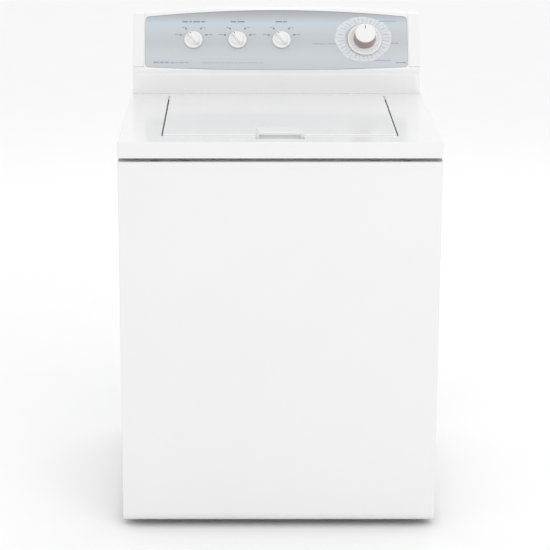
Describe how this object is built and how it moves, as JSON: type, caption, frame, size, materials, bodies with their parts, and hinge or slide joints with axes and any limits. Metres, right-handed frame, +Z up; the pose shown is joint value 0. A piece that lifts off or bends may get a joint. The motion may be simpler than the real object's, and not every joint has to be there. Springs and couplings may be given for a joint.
{
  "type": "top load washing machine",
  "caption": "Freestanding top load washer: white cabinet, hinged lid over a perforated basket with agitator, and a curved blue-grey console with a timer dial and selector knobs.",
  "frame": {"origin": "on the floor under the middle of the outer box", "axes": "+Z up, the front faces -Y, +X to the right of someone facing the front"},
  "size_m": [0.686, 0.676, 1.061],
  "materials": {
    "enamel": "gloss white appliance enamel",
    "white_plastic": "satin white moulded plastic",
    "panel_face": "blue grey printed panel, satin",
    "galvanised": "zinc coated sheet, dull spangle",
    "zinc_steel": "zinc plated, bright",
    "spring_steel": "oiled dark wire",
    "stainless": "brushed stainless sheet",
    "machined_steel": "turned steel",
    "cast_aluminium": "sand cast",
    "tub_plastic": "mineral filled polypropylene, matt off white",
    "agitator_plastic": "smooth white polypropylene",
    "grey_plastic": "dark grey engineering plastic",
    "valve_plastic": "cream nylon",
    "motor_enamel": "black stoved enamel",
    "bronze": "sintered bronze",
    "black_rubber": "matt black rubber",
    "grey_rubber": "soft grey rubber",
    "loom_sleeve": "taped loom sleeve"
  },
  "bodies": {
    "cabinet": {"cabinet_left_side": "enamel", "cabinet_right_side": "enamel", "cabinet_rear_panel": "galvanised", "front_panel": "enamel", "base_frame": "galvanised", "top_panel": "enamel", "hinge_bushes": "valve_plastic", "lid_bumpers": "grey_rubber", "front_crossmember": "enamel", "lid_switch_housing": "grey_plastic", "control_panel": "panel_face", "console_body": "white_plastic", "console_left_end_cap": "white_plastic", "console_right_end_cap": "white_plastic", "console_rear_cover": "galvanised", "timer_body": "grey_plastic", "selector_switches": "grey_plastic", "suspension_rods": "zinc_steel", "suspension_springs": "spring_steel", "water_inlet_valve": "valve_plastic", "fill_hose": "black_rubber", "fill_nozzle": "tub_plastic", "drain_pump_body": "grey_plastic", "tub_to_pump_hose": "black_rubber", "internal_drain_hose": "black_rubber", "drain_outlet": "grey_plastic", "power_cord_bushing": "black_rubber", "wiring_harness": "loom_sleeve", "rear_panel_screws": "zinc_steel"},
    "tub": {"outer_tub": "tub_plastic", "tub_cover_ring": "tub_plastic", "tub_support_frame": "galvanised", "bearing_housing": "cast_aluminium", "spin_bearings": "bronze", "tub_seal": "black_rubber", "gearcase": "cast_aluminium", "motor_housing": "motor_enamel", "drive_belt": "black_rubber"},
    "basket": {"wash_basket": "stainless", "balance_ring": "tub_plastic", "basket_hub": "cast_aluminium"},
    "agitator": {"agitator": "agitator_plastic", "agitator_cap": "agitator_plastic", "agitator_shaft": "machined_steel"},
    "drive_pulley": {"drive_pulley": "cast_aluminium"},
    "motor_rotor": {"motor_rotor": "machined_steel"},
    "pump_impeller": {"pump_impeller": "valve_plastic"},
    "lid": {"lid": "enamel", "lid_inner_liner": "white_plastic", "lid_hinge_pins": "zinc_steel"},
    "lid_switch_plunger": {"lid_switch_plunger": "white_plastic"},
    "timer_dial": {"timer_dial": "white_plastic"},
    "timer_knob": {"timer_knob": "white_plastic"},
    "load_size_knob": {"load_size_knob": "white_plastic"},
    "water_temperature_knob": {"water_temperature_knob": "white_plastic"},
    "fabric_care_knob": {"fabric_care_knob": "white_plastic"},
    "foot_left_front": {"foot_left_front": "black_rubber"},
    "foot_left_rear": {"foot_left_rear": "black_rubber"},
    "foot_right_front": {"foot_right_front": "black_rubber"},
    "foot_right_rear": {"foot_right_rear": "black_rubber"}
  },
  "joints": [
    {"name": "lid_hinge", "type": "hinge", "parent": "cabinet", "child": "lid", "pos_m": [0, 0.164, 0.868], "axis": [-1, 0, 0], "range_deg": [0, 95]},
    {"name": "lid_switch_travel", "type": "slide", "parent": "cabinet", "child": "lid_switch_plunger", "axis": [0, 0, 1], "range_m": [0, 0.006]},
    {"name": "timer_dial_turn", "type": "hinge", "parent": "cabinet", "child": "timer_dial", "pos_m": [0.208, 0.2425, 0.9954], "axis": [0, -0.8192, 0.5736], "continuous": true},
    {"name": "timer_knob_pull", "type": "slide", "parent": "timer_dial", "child": "timer_knob", "axis": [0, -0.8192, 0.5736], "range_m": [0, 0.006]},
    {"name": "load_size_turn", "type": "hinge", "parent": "cabinet", "child": "load_size_knob", "pos_m": [-0.196, 0.2425, 0.9954], "axis": [0, -0.8192, 0.5736], "range_deg": [-100, 170]},
    {"name": "water_temperature_turn", "type": "hinge", "parent": "cabinet", "child": "water_temperature_knob", "pos_m": [-0.092, 0.2425, 0.9954], "axis": [0, -0.8192, 0.5736], "range_deg": [-100, 170]},
    {"name": "fabric_care_turn", "type": "hinge", "parent": "cabinet", "child": "fabric_care_knob", "pos_m": [0.012, 0.2425, 0.9954], "axis": [0, -0.8192, 0.5736], "range_deg": [-100, 170]},
    {"name": "tub_suspension", "type": "slide", "parent": "cabinet", "child": "tub", "axis": [0, 0, 1], "range_m": [-0.025, 0.01], "stiffness_N_per_m": 15000, "springref_m": 0.0325, "deforming": ["suspension_springs", "tub_to_pump_hose"]},
    {"name": "basket_spin", "type": "hinge", "parent": "tub", "child": "basket", "pos_m": [0, -0.022, 0.346], "axis": [0, 0, 1], "continuous": true},
    {"name": "agitator_swing", "type": "hinge", "parent": "basket", "child": "agitator", "pos_m": [0, -0.022, 0.372], "axis": [0, 0, 1], "range_deg": [-95, 95]},
    {"name": "drive_pulley_spin", "type": "hinge", "parent": "tub", "child": "drive_pulley", "pos_m": [0, -0.022, 0.096], "axis": [0, 0, 1], "continuous": true},
    {"name": "motor_spin", "type": "hinge", "parent": "tub", "child": "motor_rotor", "pos_m": [0.172, -0.022, 0.096], "axis": [0, 0, 1], "continuous": true},
    {"name": "pump_impeller_spin", "type": "hinge", "parent": "cabinet", "child": "pump_impeller", "pos_m": [0.225, -0.235, 0.1], "axis": [0, 0, 1], "continuous": true},
    {"name": "foot_left_front_level", "type": "slide", "parent": "cabinet", "child": "foot_left_front", "axis": [0, 0, -1], "range_m": [-0.004, 0.016]},
    {"name": "foot_left_rear_level", "type": "slide", "parent": "cabinet", "child": "foot_left_rear", "axis": [0, 0, -1], "range_m": [-0.004, 0.016]},
    {"name": "foot_right_front_level", "type": "slide", "parent": "cabinet", "child": "foot_right_front", "axis": [0, 0, -1], "range_m": [-0.004, 0.016]},
    {"name": "foot_right_rear_level", "type": "slide", "parent": "cabinet", "child": "foot_right_rear", "axis": [0, 0, -1], "range_m": [-0.004, 0.016]}
  ],
  "couplings": [
    {"joint": "lid_switch_travel", "follows": "lid_hinge", "m_per_rad": 0.0036151},
    {"joint": "drive_pulley_spin", "follows": "basket_spin", "ratio": 1},
    {"joint": "motor_spin", "follows": "basket_spin", "ratio": 6.027}
  ]
}
